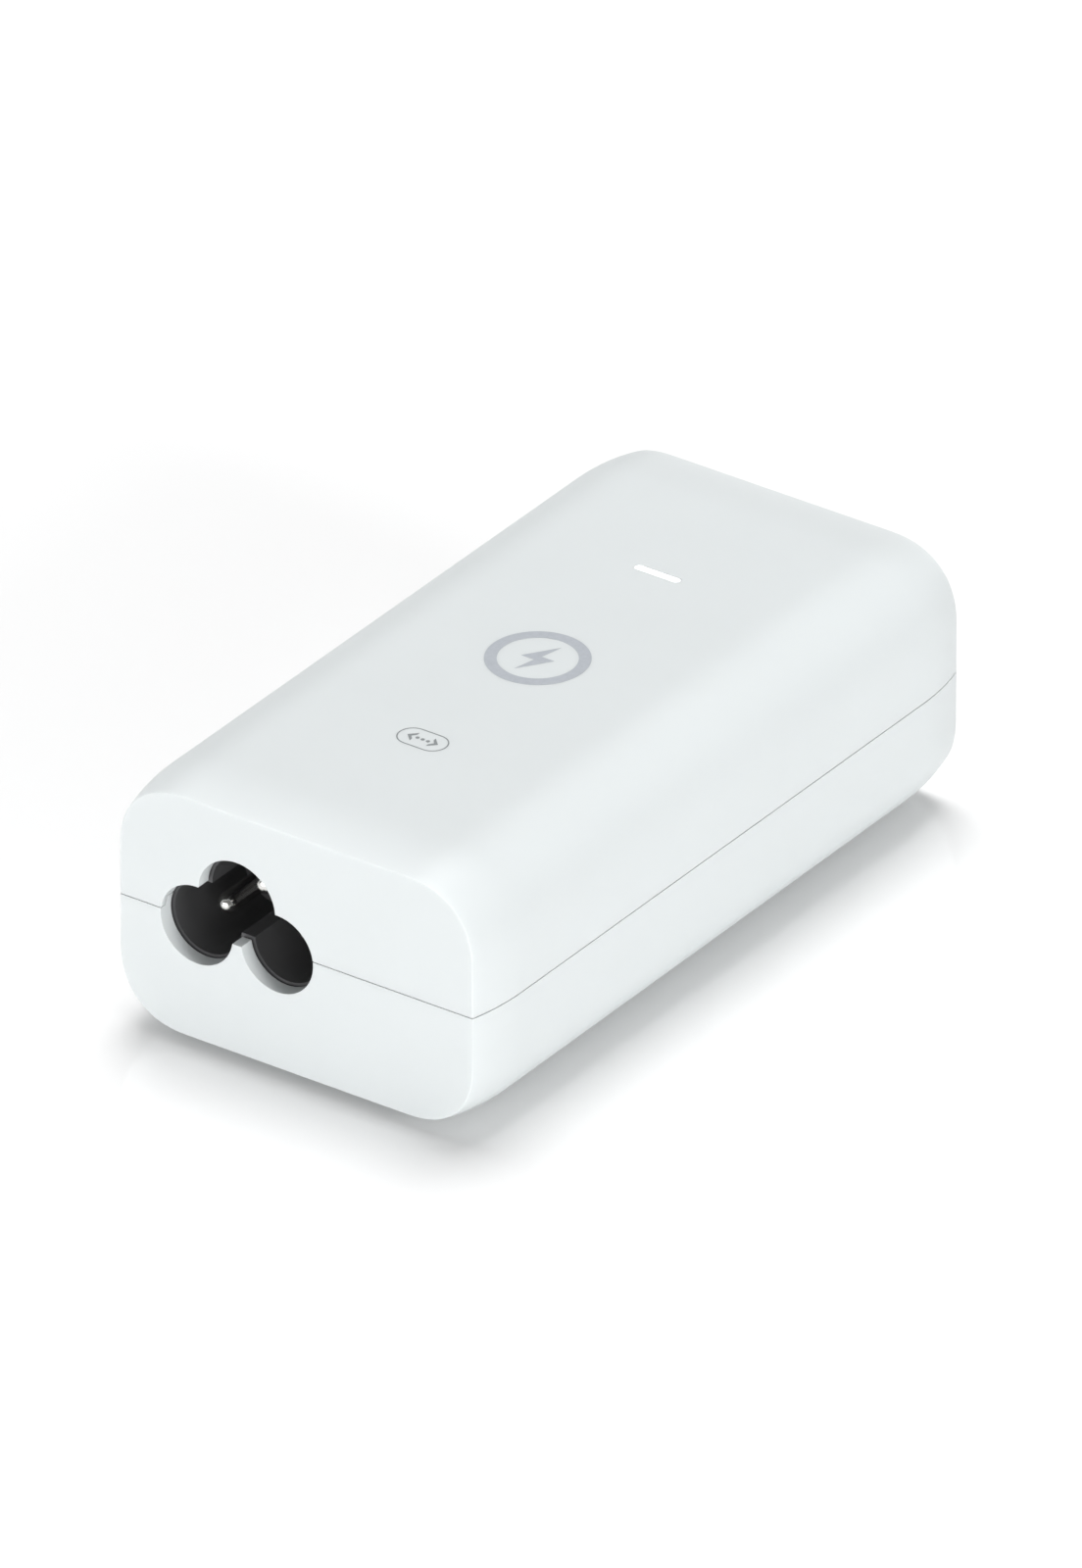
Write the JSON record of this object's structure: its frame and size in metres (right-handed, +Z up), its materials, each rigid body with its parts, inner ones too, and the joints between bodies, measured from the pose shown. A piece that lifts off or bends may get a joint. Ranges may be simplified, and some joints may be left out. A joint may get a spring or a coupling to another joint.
{
  "type": "poe injector",
  "caption": "White rounded box that feeds power into a network cable: mains appliance inlet at one end, RJ45 jacks at the other, status light on top, power supply board inside.",
  "frame": {"origin": "on the floor, under the middle of the case", "axes": "+Z up; +Y runs along the case from the mains inlet end to the RJ45 jack end; +X to the right for someone who looks into the inlet"},
  "size_m": [0.0458, 0.0862, 0.0302],
  "materials": {
    "case_plastic": "satin cool-white moulded plastic with a very fine grain",
    "light_diffuser": "translucent white diffuser, lit",
    "foot_rubber": "pale grey matt silicone rubber",
    "black_plastic": "black glass-filled moulding",
    "nickel_plate": "bright nickel plate",
    "shield_steel": "tin-plated rolled steel sheet",
    "gold_plate": "gold-plated contact springs",
    "board_laminate": "green solder mask over glass laminate",
    "insulation_paper": "pale insulating fish paper",
    "ferrite": "dark grey sintered ferrite",
    "copper_wire": "enamelled copper wire",
    "winding_tape": "yellow polyester tape",
    "yellow_box": "yellow moulded box, epoxy filled",
    "blue_coating": "blue epoxy coating",
    "green_coating": "dark green epoxy coating",
    "brown_plastic": "brown moulded plastic",
    "can_sleeve": "dark blue shrink sleeve",
    "heat_sink_metal": "bare rolled aluminium"
  },
  "bodies": {
    "root": {"upper_shell": "case_plastic", "lower_shell": "case_plastic", "foot_front_left": "foot_rubber", "foot_front_right": "foot_rubber", "foot_rear_left": "foot_rubber", "foot_rear_right": "foot_rubber", "light_bar": "light_diffuser", "status_led": "light_diffuser", "inlet_housing": "black_plastic", "line_pin": "nickel_plate", "neutral_pin": "nickel_plate", "earth_pin": "nickel_plate", "power_jack_shield": "shield_steel", "power_jack_housing": "black_plastic", "power_jack_contacts": "gold_plate", "data_jack_shield": "shield_steel", "data_jack_housing": "black_plastic", "data_jack_contacts": "gold_plate", "main_board": "board_laminate", "insulation_sheet": "insulation_paper", "choke_core": "ferrite", "choke_left_winding": "copper_wire", "choke_right_winding": "copper_wire", "choke_base": "black_plastic", "film_capacitor": "yellow_box", "bulk_capacitor": "can_sleeve", "fuse": "brown_plastic", "thermistor": "green_coating", "varistor": "blue_coating", "bridge_rectifier": "black_plastic", "transformer_core": "ferrite", "transformer_bobbin": "black_plastic", "transformer_winding": "winding_tape", "heat_sink": "heat_sink_metal", "power_transistor": "black_plastic", "heat_sink_screw": "nickel_plate", "output_capacitor_1": "can_sleeve", "output_capacitor_2": "can_sleeve", "output_inductor": "ferrite", "safety_capacitor": "blue_coating", "line_transformer": "black_plastic", "controller_chip": "black_plastic", "optocoupler": "black_plastic"}
  },
  "joints": []
}
